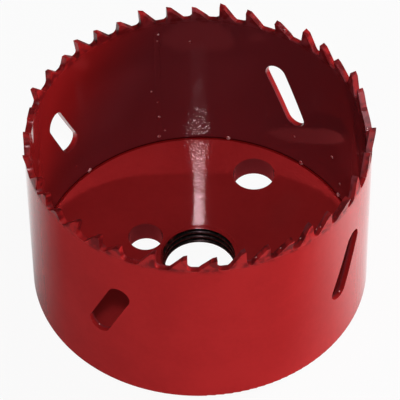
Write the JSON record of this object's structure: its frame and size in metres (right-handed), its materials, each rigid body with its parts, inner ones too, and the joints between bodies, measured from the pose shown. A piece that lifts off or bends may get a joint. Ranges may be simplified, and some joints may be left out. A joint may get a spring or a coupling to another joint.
{
  "type": "hole saw",
  "caption": "Cup-shaped hole saw with a toothed rim, slanting side slots and a threaded end cap.",
  "frame": {"origin": "middle of the end cap's underside, on the saw's axis", "axes": "+Z along the axis, from the end cap towards the teeth; the picture is taken from the -Y side, with +X to the right"},
  "size_m": [0.0694, 0.0696, 0.0433],
  "materials": {
    "shell_paint": "gloss red paint",
    "cap_paint": "gloss red paint"
  },
  "bodies": {
    "root": {"toothed_shell": "shell_paint", "end_cap": "cap_paint"}
  },
  "joints": []
}
